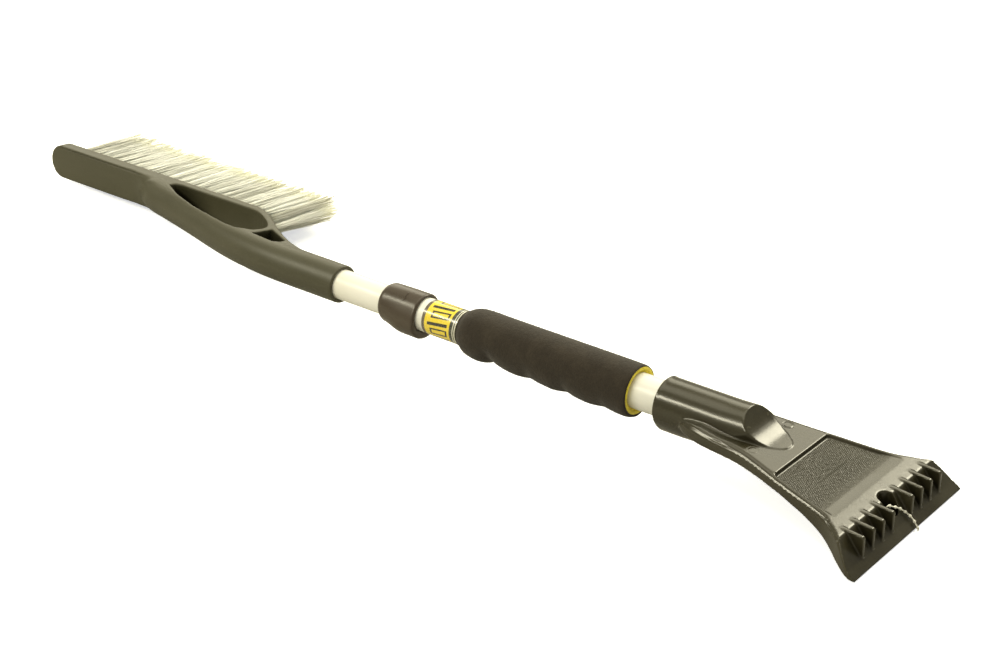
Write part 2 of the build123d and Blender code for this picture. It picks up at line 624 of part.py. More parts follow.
with BuildPart() as brush_body:
    # round arm, from the tube socket to the bar
    with BuildLine() as arm_path:
        Spline(*[brush_point(*point) for point in ARM_LINE],
               tangents=(Vector(-1, 0, 0), Vector(-1, 0, 0)))
    with BuildSketch(Plane(origin=brush_point(SOCKET_MOUTH, 0), x_dir=BRUSH_OUT,
                           z_dir=(-1, 0, 0))):
        Circle(ARM_RADIUS)
    sweep(path=arm_path.line)
    # the arm's round end, and both trimmed behind the bar's bristle face
    with Locations(brush_point(*ARM_LINE[-1])):
        Sphere(ARM_END_RADIUS)
    with BuildSketch(BRUSH.offset(-ARM_RADIUS - 1)):
        with BuildLine():
            Polyline(*ARM_TRIM)
        make_face()
    extrude(amount=2 * ARM_RADIUS + 2, mode=Mode.SUBTRACT)
    # flat web and strut between the arm and the bar
    with BuildSketch(BRUSH.offset(BAR_CENTRE - BAR_HALF)):
        with BuildLine():
            Spline(*STRUT_EDGE)
            Polyline(STRUT_EDGE[-1], (STRUT_EDGE[-1][0], 0), ARM_LINE[2])
            Spline(*ARM_LINE[2:])
            Polyline(ARM_LINE[-1], (WEB_END, 36.0), (WEB_END, BAR_FRONT), STRUT_EDGE[0])
        make_face()
    extrude(amount=2 * BAR_HALF)
    # bristle bar, with a round outer end
    with BuildSketch(BRUSH_FRONT.offset(BAR_BACK)):
        with Locations((-(BAR_FROM + BAR_HALF), BAR_CENTRE)):
            Circle(BAR_HALF)
        with Locations((-(BAR_FROM + BAR_HALF + BAR_TO) / 2, BAR_CENTRE)):
            Rectangle(BAR_TO - BAR_FROM - BAR_HALF, 2 * BAR_HALF)
    extrude(amount=BAR_FRONT - BAR_BACK)
    # large and small slots
    with BuildSketch(BRUSH.offset(BAR_CENTRE - BAR_HALF - 2)):
        with BuildLine():
            Spline(*BIG_SLOT, periodic=True)
        make_face()
        with BuildLine():
            Polyline(*SMALL_SLOT)
        make_face()
    extrude(amount=2 * BAR_HALF + 4, mode=Mode.SUBTRACT)
    # socket bore for the inner tube
    with BuildSketch(section(BORE_END)):
        Circle(INNER_RADIUS + FIT)
    extrude(amount=SOCKET_MOUTH + 1 - BORE_END, mode=Mode.SUBTRACT)
    # tuft holes, cut from 1 mm outside the bristle face
    for _, height, splay, shift, count in TUFT_ROWS:
        for depth, places in tuft_groups(shift, count):
            with BuildSketch(row_plane(height, splay, 1.0)):
                with Locations(*places):
                    Circle(TUFT_HOLE_RADIUS)
            extrude(amount=-depth - 1.0, mode=Mode.SUBTRACT)
    # hole and counterbore for the brush screw
    with BuildSketch(under(BRUSH_SCREW_STATION, 0, BRUSH_UP)):
        Circle(SCREW_HOLE_RADIUS)
    extrude(amount=ARM_RADIUS + PAST, mode=Mode.SUBTRACT)
    with BuildSketch(under(BRUSH_SCREW_STATION, BRUSH_SEAT, BRUSH_UP)):
        Circle(COUNTERBORE_RADIUS)
    extrude(amount=COUNTERBORE_LENGTH, mode=Mode.SUBTRACT)

with BuildPart() as brush_screw:
    with BuildSketch(under(BRUSH_SCREW_STATION, BRUSH_SCREW_TIP, BRUSH_UP)):
        Circle(SCREW_RADIUS)
    extrude(amount=BRUSH_SHANK_END - BRUSH_SCREW_TIP)
    with BuildSketch(under(BRUSH_SCREW_STATION, BRUSH_HEAD_TOP, BRUSH_UP)):
        Circle(HEAD_RADIUS)
    extrude(amount=BRUSH_HEAD_HEIGHT)
    fillet(brush_screw.edges().filter_by(GeomType.CIRCLE).sort_by(Axis.Z)[0], HEAD_ROUND)

# ================================================================= bristles
ANCHOR_LENGTH, ANCHOR_WIDTH, ANCHOR_THICK = 3.6, 1.2, 0.9
ANCHOR_GAP = 0.2            # from a hole's floor to its anchor


def make_bristle_row(height, splay, shift, count):
    """One row of tufts, each a solid cylinder standing in its hole."""
    with BuildPart() as row:
        for depth, places in tuft_groups(shift, count):
            with BuildSketch(row_plane(height, splay, TUFT_GAP - depth)):
                with Locations(*places):
                    Circle(TUFT_RADIUS)
            extrude(amount=depth - TUFT_GAP + TUFT_FREE)
    return row.part


with BuildPart() as tuft_anchors:
    for _, height, splay, shift, count in TUFT_ROWS:
        for depth, places in tuft_groups(shift, count):
            with BuildSketch(row_plane(height, splay, ANCHOR_GAP - depth)):
                with Locations(*places):
                    Rectangle(ANCHOR_LENGTH, ANCHOR_WIDTH)
            extrude(amount=ANCHOR_THICK)

# ================================================================= export
pieces = {
    "outer_tube": outer_tube,
    "inner_tube": inner_tube,
    "lock_collar": lock_collar.part,
    "guide_bush": guide_bush.part,
    "lock_plug": lock_plug.part,
    "lock_ring": lock_ring.part,
    "plug_cap": plug_cap.part,
    "plug_screw": plug_screw.part,
    "label_sleeve": label_sleeve,
    "foam_grip": foam_grip.part,
    "grip_end_ring": grip_end_ring,
    "scraper_head": scraper_head.part,
    "scraper_screw": scraper_screw.part,
    "brush_body": brush_body.part,
    "brush_screw": brush_screw.part,
    "tuft_anchors": tuft_anchors.part,
}
for name, *layout in TUFT_ROWS:
    pieces[name] = make_bristle_row(*layout)

for name, piece in pieces.items():
    piece.label = name
    export_step(piece, f"parts/{name}.step")
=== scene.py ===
"""Telescopic ice scraper with a snow brush, lying on a white table.

The shaft runs along x. Stations are mm along it from the lock collar, growing with +x: the
brush is at the -x end with its bristles towards +y, then come the collar, the foam grip and,
at the +x end, the scraper head. The origin is in the head's hang hole, below the shaft axis.
Lengths are in mm unless a comment says metres; meshes and shaders work in metres.
"""

import math
import random

import bmesh
import bpy
import numpy as np
from mathutils import Matrix, Vector, noise
from mathutils.bvhtree import BVHTree

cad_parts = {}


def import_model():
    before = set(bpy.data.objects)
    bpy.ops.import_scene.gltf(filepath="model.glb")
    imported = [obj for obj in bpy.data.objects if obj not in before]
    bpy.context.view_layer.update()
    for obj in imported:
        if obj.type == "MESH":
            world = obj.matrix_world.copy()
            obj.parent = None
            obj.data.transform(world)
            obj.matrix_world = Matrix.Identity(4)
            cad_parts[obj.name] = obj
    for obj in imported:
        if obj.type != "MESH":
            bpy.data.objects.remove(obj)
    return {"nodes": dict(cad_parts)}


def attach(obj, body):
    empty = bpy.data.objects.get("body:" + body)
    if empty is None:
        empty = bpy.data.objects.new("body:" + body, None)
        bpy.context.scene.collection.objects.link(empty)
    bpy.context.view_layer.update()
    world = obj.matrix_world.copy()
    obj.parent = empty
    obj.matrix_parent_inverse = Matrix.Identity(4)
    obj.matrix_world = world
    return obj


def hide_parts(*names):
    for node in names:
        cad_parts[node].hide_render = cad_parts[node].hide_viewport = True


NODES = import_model()["nodes"]
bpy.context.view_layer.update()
scene = bpy.context.scene

# ------------------------------------------------------------------ frame
MM = 0.001
ORIGIN_STATION = 337.5
AXIS_Z = 0.0186                     # metres, shaft axis over the origin

# The brush's own directions: reach towards the bristles, 5 degrees below level, and up.
BRUSH_TILT = math.radians(-5.0)
OUT = Vector((0, math.cos(BRUSH_TILT), math.sin(BRUSH_TILT)))
UP = Vector((0, -math.sin(BRUSH_TILT), math.cos(BRUSH_TILT)))


def station_x(station):
    return (station - ORIGIN_STATION) * MM


def point(station, y, height):
    """Point from its station, side and height over the shaft axis."""
    return Vector((station_x(station), y * MM, height * MM + AXIS_Z))


def around(station, radius, angle):
    """Point round the shaft axis; the angle runs from +y towards +z."""
    return point(station, radius * math.cos(angle), radius * math.sin(angle))


def brush_point(station, out, up):
    """Point from its station, reach and height in the brush's own directions."""
    return Vector((station_x(station), 0, AXIS_Z)) + OUT * (out * MM) + UP * (up * MM)


def shaft_coords(co):
    """Station, side and height over the axis of an array of points."""
    return co[:, 0] / MM + ORIGIN_STATION, co[:, 1] / MM, (co[:, 2] - AXIS_Z) / MM


def brush_coords(co):
    """Station, reach and height in the brush's directions of an array of points."""
    s, y, h = shaft_coords(co)
    return s, y * OUT.y + h * OUT.z, y * UP.y + h * UP.z


# ------------------------------------------------------------------ curves
def smoothstep(value, start, end):
    t = np.clip((value - start) / (end - start), 0.0, 1.0)
    return t * t * (3 - 2 * t)


def plateau(value, rise, fall):
    """1 between the two (start, end) ramps, 0 outside them."""
    return smoothstep(value, *rise) * (1 - smoothstep(value, *fall))


def table_at(value, table):
    return np.interp(value, *zip(*table))


def spline_at(x, table):
    """Catmull-Rom value through a table of (x, y) points."""
    i = 0
    while i < len(table) - 2 and x > table[i + 1][0]:
        i += 1
    (x0, y0), (x1, y1) = table[i], table[i + 1]
    before = table[i - 1] if i else (2 * x0 - x1, y0)
    after = table[i + 2] if i + 2 < len(table) else (2 * x1 - x0, y1)
    slope0 = (y1 - before[1]) / (x1 - before[0]) * (x1 - x0)
    slope1 = (after[1] - y0) / (after[0] - x0) * (x1 - x0)
    t = max(0.0, min(1.0, (x - x0) / (x1 - x0)))
    return ((2 * t ** 3 - 3 * t * t + 1) * y0 + (t ** 3 - 2 * t * t + t) * slope0
            + (-2 * t ** 3 + 3 * t * t) * y1 + (t ** 3 - t * t) * slope1)


def smooth_loop(points, count):
    """Closed Catmull-Rom curve through the points, at even steps, and its length."""
    curve, n = [], len(points)
    for i in range(n):
        p0, p1, p2, p3 = (points[(i + k) % n] for k in (-1, 0, 1, 2))
        for step in range(24):
            t = step / 24
            curve.append(0.5 * ((2 * p1) + (p2 - p0) * t
                                + (2 * p0 - 5 * p1 + 4 * p2 - p3) * t * t
                                + (3 * p1 - p0 - 3 * p2 + p3) * t ** 3))
    lengths = [(curve[(i + 1) % len(curve)] - curve[i]).length for i in range(len(curve))]
    total = sum(lengths)
    even, passed, i = [], 0.0, 0
    for k in range(count):
        wanted = total * k / count
        while passed + lengths[i] < wanted:
            passed += lengths[i]
            i += 1
        part = (wanted - passed) / lengths[i]
        even.append(curve[i].lerp(curve[(i + 1) % len(curve)], part))
    return even, total


# ------------------------------------------------------------------ meshes
def new_object(name, verts, faces, smooth=True):
    me = bpy.data.meshes.new(name)
    me.from_pydata([tuple(v) for v in verts], [], [tuple(f) for f in faces])
    me.validate()
    if smooth:
        me.polygons.foreach_set("use_smooth", [True] * len(me.polygons))
    me.update()
    return link_object(name, me)


def link_object(name, data):
    o = bpy.data.objects.new(name, data)
    scene.collection.objects.link(o)
    return o


def clean_mesh(me, weld=None, split_ngons=False):
    """Turn the faces outwards, after welding close vertices or splitting large faces."""
    bm = bmesh.new()
    bm.from_mesh(me)
    if weld:
        bmesh.ops.remove_doubles(bm, verts=bm.verts, dist=weld)
    if split_ngons:
        bmesh.ops.triangulate(bm, faces=[f for f in bm.faces if len(f.verts) > 4])
    bmesh.ops.recalc_face_normals(bm, faces=bm.faces)
    bm.to_mesh(me)
    bm.free()
    me.update()


def solid(name, verts, faces, smooth=True, split_ngons=False):
    """A closed object with its faces turned outwards."""
    o = new_object(name, verts, faces, smooth)
    clean_mesh(o.data, split_ngons=split_ngons)
    return o


def closed_ring_faces(turns, sides):
    """Faces of a ring of closed sections that meets itself again."""
    faces = []
    for j in range(turns):
        a, b = j * sides, (j + 1) % turns * sides
        for i in range(sides):
            k = (i + 1) % sides
            faces.append((a + i, a + k, b + k, b + i))
    return faces


def apply_modifiers(o):
    bpy.context.view_layer.update()
    depsgraph = bpy.context.evaluated_depsgraph_get()
    me = bpy.data.meshes.new_from_object(o.evaluated_get(depsgraph), depsgraph=depsgraph)
    o.modifiers.clear()
    old = o.data
    o.data = me
    bpy.data.meshes.remove(old)


def read_mesh(me):
    """Vertex places and edges as arrays."""
    co = np.zeros(len(me.vertices) * 3)
    me.vertices.foreach_get("co", co)
    edges = np.zeros(len(me.edges) * 2, np.int64)
    me.edges.foreach_get("vertices", edges)
    return co.reshape(-1, 3), edges.reshape(-1, 2)


def write_mesh(me, co):
    me.vertices.foreach_set("co", co.ravel())
    me.update()


def relax(co, edges, steps, weight):
    """Move each vertex half way to its neighbours' mean, scaled by its weight, in steps."""
    n = len(co)
    valence = np.bincount(edges.ravel(), minlength=n).astype(float)[:, None]
    valence[valence == 0] = 1
    for _ in range(steps):
        total = np.empty_like(co)
        for k in range(3):
            total[:, k] = (np.bincount(edges[:, 0], co[edges[:, 1], k], n)
                           + np.bincount(edges[:, 1], co[edges[:, 0], k], n))
        co = co + 0.5 * (total / valence - co) * weight[:, None]
    return co


def relax_part(co, edges, steps, weight):
    """Relax, in place, only the vertices that carry weight."""
    inside = weight > 0.001
    chosen = np.nonzero(inside)[0]
    renumber = -np.ones(len(co), np.int64)
    renumber[chosen] = np.arange(len(chosen))
    part = edges[inside[edges[:, 0]] & inside[edges[:, 1]]]
    co[chosen] = relax(co[chosen], renumber[part], steps, weight[chosen])


def moulded(node, name, voxel, steps, softness=None, reshape=None):
    """The CAD part as a moulding: a dense skin with rounded corners. The voxel is in metres."""
    me = NODES[node].data.copy()
    me.name = name
    clean_mesh(me, weld=2e-6)
    me.materials.clear()
    o = link_object(name, me)
    skin = o.modifiers.new("skin", "REMESH")
    skin.mode = "VOXEL"
    skin.voxel_size = voxel
    skin.adaptivity = 0.0
    apply_modifiers(o)
    me = o.data
    co, edges = read_mesh(me)
    if reshape:
        co = reshape(co)
    weight = softness(co) if softness else np.ones(len(co))
    co = relax(co, edges, steps, weight)
    me.polygons.foreach_set("use_smooth", [True] * len(me.polygons))
    write_mesh(me, co)
    return o


def surface_tree(co, me):
    return BVHTree.FromPolygons([Vector(c) for c in co], [tuple(p.vertices) for p in me.polygons])


def paint(o, material):
    o.data.materials.clear()
    o.data.materials.append(material)


def place(o, material, part, replaces=None):
    paint(o, material)
    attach(o, part)
    if replaces:
        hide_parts(replaces)


# ------------------------------------------------------------------ shader nodes
class Shader:
    """A material's node tree, with a method for each kind of node it needs."""

    def __init__(self, name):
        self.material = bpy.data.materials.new(name)
        self.material.use_nodes = True
        self.tree = self.material.node_tree
        self.tree.nodes.clear()
        output = self.add("OutputMaterial")
        self.principled = self.add("BsdfPrincipled")
        self.feed(output.inputs[0], self.principled.outputs[0])

    def feed(self, socket, value):
        """Link an output into the socket, or set its value."""
        if isinstance(value, bpy.types.NodeSocket):
            self.tree.links.new(value, socket)
        elif socket.type == "RGBA":
            socket.default_value = (*value, 1.0)
        else:
            socket.default_value = value

    def add(self, kind, inputs=None, **settings):
        node = self.tree.nodes.new("ShaderNode" + kind)
        for key, value in settings.items():
            setattr(node, key, value)
        for key, value in (inputs or {}).items():
            self.feed(node.inputs[key], value)
        return node

    def surface(self, inputs):
        for key, value in inputs.items():
            self.feed(self.principled.inputs[key], value)

    def coords(self):
        return self.add("TexCoord").outputs["Object"]

    def stretched(self, vector, inputs):
        return self.add("Mapping", {"Vector": vector, **inputs}).outputs[0]

    def noise(self, vector, scale, detail=4.0, rough=0.55, distortion=0.0):
        return self.add("TexNoise", {"Vector": vector, "Scale": scale, "Detail": detail,
                                     "Roughness": rough, "Distortion": distortion}).outputs["Fac"]

    def cells(self, vector, scale):
        return self.add("TexVoronoi", {"Vector": vector, "Scale": scale})

    def remap(self, value, span, to=(0.0, 1.0)):
        """Map the span of values to another, clamped at its ends."""
        return self.add("MapRange", {"Value": value, "From Min": span[0], "From Max": span[1],
                                     "To Min": to[0], "To Max": to[1]}).outputs["Result"]

    def mix(self, amount, under, over):
        """Colour: under where the amount is 0, over where it is 1."""
        # the Mix node's colour sockets can only be told apart by index
        return self.add("Mix", {0: amount, 6: under, 7: over}, data_type="RGBA").outputs[2]

    def math(self, operation, a, b):
        return self.add("Math", {0: a, 1: b}, operation=operation).outputs[0]

    def ramp(self, value, stops):
        node = self.add("ValToRGB", {"Fac": value})
        elements = node.color_ramp.elements
        while len(elements) < len(stops):
            elements.new(0.5)
        for element, (position, colour) in zip(elements, stops):
            element.position = position
            element.color = (*colour, 1.0)
        return node.outputs["Color"]

    def bump(self, height, distance, strength=1.0):
        """Relief on the surface; the distance is in metres."""
        node = self.add("Bump", {"Strength": strength, "Distance": distance, "Height": height})
        self.surface({"Normal": node.outputs["Normal"]})

    def stripe(self, value, low, high, soft):
        """1 between low and high, with soft edges."""
        rise = self.remap(value, span=(low - soft, low + soft))
        fall = self.remap(value, span=(high - soft, high + soft), to=(1.0, 0.0))
        return self.math("MULTIPLY", rise, fall)


# ------------------------------------------------------------------ materials
def plastic(name, base, light, rough, wear_and_shade_reach=None):
    """Moulded plastic: mottled tone, faint flow streaks, fine skin texture, scuffs.

    Given a distance in metres for the occlusion test, edges are rubbed light as wear and the
    hollows get painted shade, darker in colour and shine.
    """
    sh = Shader(name)
    vector = sh.coords()
    flow = sh.stretched(vector, {"Scale": (0.25, 1.0, 1.0)})
    clouds = sh.noise(flow, scale=38.0, detail=5.0, rough=0.6, distortion=0.3)
    fine = sh.noise(vector, scale=900.0, detail=3.0, rough=0.6)
    grit = sh.noise(vector, scale=3200.0, detail=2.0, rough=0.7)
    mottle = tuple(0.78 * b + 0.22 * l for b, l in zip(base, light))
    colour = sh.mix(sh.remap(clouds, span=(0.35, 0.68)), base, mottle)
    colour = sh.mix(sh.remap(fine, span=(0.5, 0.8), to=(0.0, 0.16)), colour, light)
    # sparse hairline scuffs
    along = sh.stretched(vector, {"Scale": (14.0, 190.0, 190.0), "Rotation": (0.0, 0.0, 0.5)})
    scuff = sh.noise(along, scale=3.0, detail=2.0, rough=0.5)
    colour = sh.mix(sh.remap(scuff, span=(0.70, 0.76), to=(0.0, 0.10)), colour, light)
    if wear_and_shade_reach:
        pointiness = sh.add("NewGeometry").outputs["Pointiness"]
        edges = sh.remap(pointiness, span=(0.52, 0.60))
        colour = sh.mix(sh.math("MULTIPLY", edges, 0.45), colour, light)
        # painted shade: occluded hollows are darkened in colour and lose shine
        occlusion = sh.add("AmbientOcclusion", {"Distance": wear_and_shade_reach}, samples=6, only_local=True)
        open_face = sh.remap(occlusion.outputs["AO"], span=(0.35, 0.9))
        colour = sh.mix(open_face, tuple(0.25 * c for c in base), colour)
        shine = sh.remap(open_face, span=(0.0, 1.0), to=(0.08, 0.5))
        sh.surface({"Specular IOR Level": shine})
    roughness = sh.remap(clouds, span=(0.3, 0.7), to=(rough - 0.05, rough + 0.07))
    roughness = sh.math("ADD", roughness, sh.remap(grit, span=(0.3, 0.7), to=(-0.03, 0.05)))
    sh.surface({"Base Color": colour, "Roughness": roughness, "IOR": 1.5,
                "Coat Weight": 0.0, "Coat Roughness": 0.18})
    height = sh.math("ADD", sh.math("MULTIPLY", fine, 0.6), sh.math("MULTIPLY", grit, 0.4))
    sh.bump(height, distance=0.00003)
    return sh.material


def tube_paint(name, base, shade):
    """Glossy tube paint: faint orange peel, slight clouding, a few rub marks along it."""
    sh = Shader(name)
    vector = sh.coords()
    clouds = sh.noise(vector, scale=22.0, detail=4.0, rough=0.5)
    peel = sh.noise(vector, scale=620.0, detail=2.0, rough=0.4)
    along = sh.stretched(vector, {"Scale": (6.0, 220.0, 220.0)})
    streaks = sh.noise(along, scale=2.4, detail=3.0, rough=0.6)
    rub = sh.remap(streaks, span=(0.62, 0.74), to=(0.0, 0.35))
    colour = sh.mix(sh.remap(clouds, span=(0.35, 0.7)), base, shade)
    colour = sh.mix(rub, colour, shade)
    sh.surface({"Base Color": colour,
                "Roughness": sh.remap(clouds, span=(0.3, 0.7), to=(0.34, 0.46)),
                "Coat Weight": 0.15, "Coat Roughness": 0.25})
    sh.bump(peel, distance=0.000025)
    return sh.material


def foam(name, base, light, pore, depth):
    """Closed-cell foam: matte, with pores of two sizes darkened by painted shade, lighter where
    the skin is rubbed.
    """
    sh = Shader(name)
    vector = sh.coords()
    large = sh.cells(vector, scale=pore * 0.45)
    small = sh.cells(vector, scale=pore)
    clouds = sh.noise(vector, scale=70.0, detail=5.0, rough=0.65)
    pores = sh.math("ADD", sh.math("MULTIPLY", large.outputs["Distance"], 0.6),
                    sh.math("MULTIPLY", small.outputs["Distance"], 0.4))
    # painted shade: the pore cells are darkened to under half the base colour
    dark = tuple(c * 0.45 for c in base)
    colour = sh.mix(sh.remap(pores, span=(0.15, 0.5)), dark, base)
    colour = sh.mix(sh.remap(clouds, span=(0.45, 0.75), to=(0.0, 0.6)), colour, light)
    sh.surface({"Base Color": colour, "Roughness": 0.9, "Specular IOR Level": 0.25,
                "Sheen Weight": 0.12, "Sheen Roughness": 0.6})
    height = sh.math("ADD", pores, sh.math("MULTIPLY", clouds, 0.5))
    sh.bump(height, distance=depth, strength=0.9)
    return sh.material


def metal(name, base):
    sh = Shader(name)
    vector = sh.coords()
    tarnish = sh.noise(vector, scale=500.0, detail=4.0, rough=0.6)
    grain = sh.noise(vector, scale=4000.0, detail=2.0, rough=0.6)
    amount = sh.remap(tarnish, span=(0.35, 0.7))
    sh.surface({"Base Color": sh.mix(amount, base, tuple(c * 0.7 for c in base)),
                "Metallic": 1.0,
                "Roughness": sh.remap(tarnish, span=(0.3, 0.7), to=(0.28, 0.28 + 0.2))})
    sh.bump(grain, distance=0.00002)
    return sh.material


def bristle_nylon(name):
    """Filament nylon: darker at the root as painted shade near the bar, yellower at the tip,
    varied by strand.
    """
    sh = Shader(name)
    along = sh.add("Attribute", attribute_name="along").outputs["Fac"]
    tone = sh.add("Attribute", attribute_name="tone").outputs["Fac"]
    # the dark first stop is painted shade where the filaments crowd into the bar
    colour = sh.ramp(along, [(0.0, (0.58, 0.58, 0.50)), (0.2, (0.87, 0.88, 0.83)),
                             (0.7, (0.94, 0.95, 0.91)), (1.0, (0.95, 0.95, 0.76))])
    dull = sh.remap(tone, span=(0.45, 1.0), to=(0.0, 0.75))
    colour = sh.mix(dull, colour, (0.34, 0.33, 0.25))
    grain = sh.noise(sh.coords(), scale=1500.0, detail=2.0)
    specks = sh.remap(grain, span=(0.3, 0.8), to=(0.0, 0.2))
    sh.surface({"Base Color": sh.mix(specks, colour, (0.95, 0.93, 0.82)),
                "Roughness": sh.remap(grain, span=(0.3, 0.7), to=(0.34, 0.5))})
    sh.bump(grain, distance=0.00002)
    return sh.material


def label_print(name):
    """Printed film round the tube: a yellow field with dark blocks, and a lined end band."""
    yellow = (0.86, 0.66, 0.045)
    dark = (0.030, 0.028, 0.018)
    white = (0.74, 0.72, 0.60)
    brown = (0.12, 0.10, 0.075)
    band_dark = (0.045, 0.05, 0.035)
    film_radius = 11.2
    slant = 0.12                    # shift round the tube per mm along it
    turn_offset = 71.6              # keeps the length round the tube positive
    repeat = 11.77                  # pitch of the pattern round the tube

    sh = Shader(name)
    vector = sh.coords()
    axes = sh.add("SeparateXYZ", {0: vector}).outputs
    station = sh.math("ADD", sh.math("MULTIPLY", axes[0], 1000.0), ORIGIN_STATION)
    height = sh.math("SUBTRACT", axes[2], AXIS_Z)
    angle = sh.math("ARCTAN2", height, axes[1])
    arc = sh.math("MULTIPLY", angle, film_radius)

    def band(low, high):
        return sh.stripe(station, low, high, soft=0.12)

    def block(across, along):
        """A block from its spans round the tube and along it."""
        return sh.math("MULTIPLY", sh.stripe(cell, *across, soft=0.1), band(*along))

    colour = sh.mix(band(18.3, 40.0), brown, yellow)
    turn = sh.math("ADD", arc, sh.math("MULTIPLY", station, slant))
    cell = sh.math("MODULO", sh.math("ADD", turn, turn_offset), repeat)
    bar = block(across=(0.8, 2.9), along=(20.6, 36.6))
    box = block(across=(5.0, 9.9), along=(22.6, 36.6))
    box_hole = block(across=(6.1, 8.8), along=(24.0, 35.2))
    colour = sh.mix(bar, colour, dark)
    colour = sh.mix(box, colour, dark)
    colour = sh.mix(box_hole, colour, yellow)
    colour = sh.mix(band(38.4, 43.6), colour, band_dark)
    for low, high in ((40.9, 41.5), (42.4, 43.1)):
        colour = sh.mix(band(low, high), colour, white)
    grain = sh.noise(vector, scale=1400.0, detail=2.0)
    colour = sh.mix(sh.remap(grain, span=(0.45, 0.8), to=(0.0, 0.12)), colour, white)
    sh.surface({"Base Color": colour,
                "Roughness": sh.remap(grain, span=(0.3, 0.7), to=(0.2, 0.32)),
                "Coat Weight": 0.5, "Coat Roughness": 0.1})
    sh.bump(grain, distance=0.00001)
    return sh.material


HEAD_BLACK = plastic("head_plastic", base=(0.030, 0.026, 0.013), light=(0.090, 0.082, 0.050),
                     rough=0.18, wear_and_shade_reach=0.012)
BRUSH_BLACK = plastic("brush_plastic", base=(0.046, 0.043, 0.021), light=(0.115, 0.107, 0.068),
                      rough=0.45, wear_and_shade_reach=0.022)
COLLAR_BLACK = plastic("collar_plastic", base=(0.050, 0.037, 0.024),
                       light=(0.13, 0.105, 0.075), rough=0.32)
LOCK_GREY = plastic("lock_plastic", base=(0.10, 0.10, 0.10), light=(0.25, 0.25, 0.25), rough=0.5)
BUSH_NYLON = plastic("bush_nylon", base=(0.78, 0.76, 0.68), light=(0.9, 0.89, 0.82), rough=0.45)
OUTER_PAINT = tube_paint("outer_tube_paint", base=(0.81, 0.81, 0.78), shade=(0.75, 0.74, 0.68))
INNER_PAINT = tube_paint("inner_tube_paint", base=(0.81, 0.80, 0.75), shade=(0.75, 0.73, 0.65))
BLACK_FOAM = foam("foam_black", base=(0.022, 0.0155, 0.009), light=(0.042, 0.032, 0.021),
                  pore=2600.0, depth=0.00022)
YELLOW_FOAM = foam("foam_yellow", base=(0.86, 0.70, 0.05), light=(0.90, 0.78, 0.20),
                   pore=2200.0, depth=0.00008)
LABEL = label_print("label_print")
STEEL = metal("screw_steel", base=(0.62, 0.62, 0.60))
BRASS = metal("anchor_wire", base=(0.80, 0.62, 0.35))
BRISTLE = bristle_nylon("bristle_nylon")
TIE = plastic("tie_plastic", base=(0.88, 0.87, 0.78), light=(0.97, 0.97, 0.92), rough=0.35)

# ------------------------------------------------------------------ scraper head
# station, height of the head's top face
HEAD_TOP = [(212.0, 1.8), (220.0, 3.4), (229.0, 3.9), (264.0, 0.2), (283.0, -2.6),
            (324.0, -8.0), (336.2, -10.7)]
# station, half width of the head
HEAD_PLAN = [(212.0, 13.5), (220.0, 18.6), (229.0, 21.4), (244.0, 22.6), (254.0, 23.4),
             (264.0, 25.2), (283.0, 30.2), (303.0, 35.2), (324.0, 42.2), (333.0, 48.3)]
MARK_STATION, MARK_RADIUS, MARK_WIDTH = 263.6, 3.0, 0.42
MARKS = [(-18.4, 0.14), (18.4, 0.30)]       # side, depth of the two ring marks


def head_softness(co):
    """Full smoothing, but less at the +x end so that its edges stay crisp."""
    s, _, _ = shaft_coords(co)
    return np.where(s > 333.5, 0.4, 1.0)


def lower_socket(co):
    """The socket's outside hangs a little low on the tube."""
    s, y, h = shaft_coords(co)
    outer = smoothstep(np.hypot(y, h), 12.2, 14.4)
    low = outer * plateau(s, rise=(193.0, 196.0), fall=(236.0, 262.0))
    co[:, 2] -= 0.9 * MM * low
    belly = smoothstep(-h, 8.0, 15.0) * (1 - smoothstep(s, 205.0, 232.0))
    co[:, 2] -= 1.1 * MM * low * belly
    return co


def soften_head_margin(head):
    """Roll the top face over into the side walls and press in the two ring marks."""
    co, edges = read_mesh(head.data)
    s, y, h = shaft_coords(co)
    half = table_at(s, HEAD_PLAN)
    top = table_at(s, HEAD_TOP)
    margin = smoothstep(np.abs(y), half - 4.0, half - 1.5) * smoothstep(h, top - 3.2, top - 1.6)
    margin *= plateau(s, rise=(240.0, 256.0), fall=(318.0, 328.0))
    # the wings grow out of the socket without a crease
    root = plateau(s, rise=(204.0, 212.0), fall=(234.0, 250.0))
    root *= smoothstep(np.hypot(y, h), 12.6, 13.6)
    root *= smoothstep(np.abs(y), 11.0, 13.0) * (1 - smoothstep(h, 7.0, 10.0))
    relax_part(co, edges, steps=70, weight=np.maximum(0.7 * margin, 0.3 * root))
    for side, depth in MARKS:
        r = np.hypot(s - MARK_STATION, y - side)
        groove = np.exp(-(((r - MARK_RADIUS) / MARK_WIDTH) ** 2))
        co[:, 2] -= depth * MM * groove * (h > -3)
    write_mesh(head.data, co)


head = moulded("scraper_head", "scraper_head_moulding", voxel=0.00045, steps=6,
               softness=head_softness, reshape=lower_socket)
place(head, HEAD_BLACK, "handle", replaces="scraper_head")
soften_head_margin(head)

# ------------------------------------------------------------------ thumb panel
PANEL_START, PANEL_END = 284.3, 322.0
STUD_PITCH = 1.9
STUD_STEPS = 9                  # grid cells per stud
STUD_SLANT = 1.25               # sideways against lengthwise slope of the stud rows
STUD_RISE = 0.22
PANEL_GRID_HALF_WIDTH = 37.0    # sets the number of columns


def panel_half_width(s):
    return 28.2 + (s - 283.7) / (326.0 - 283.7) * 10.4 - 0.55


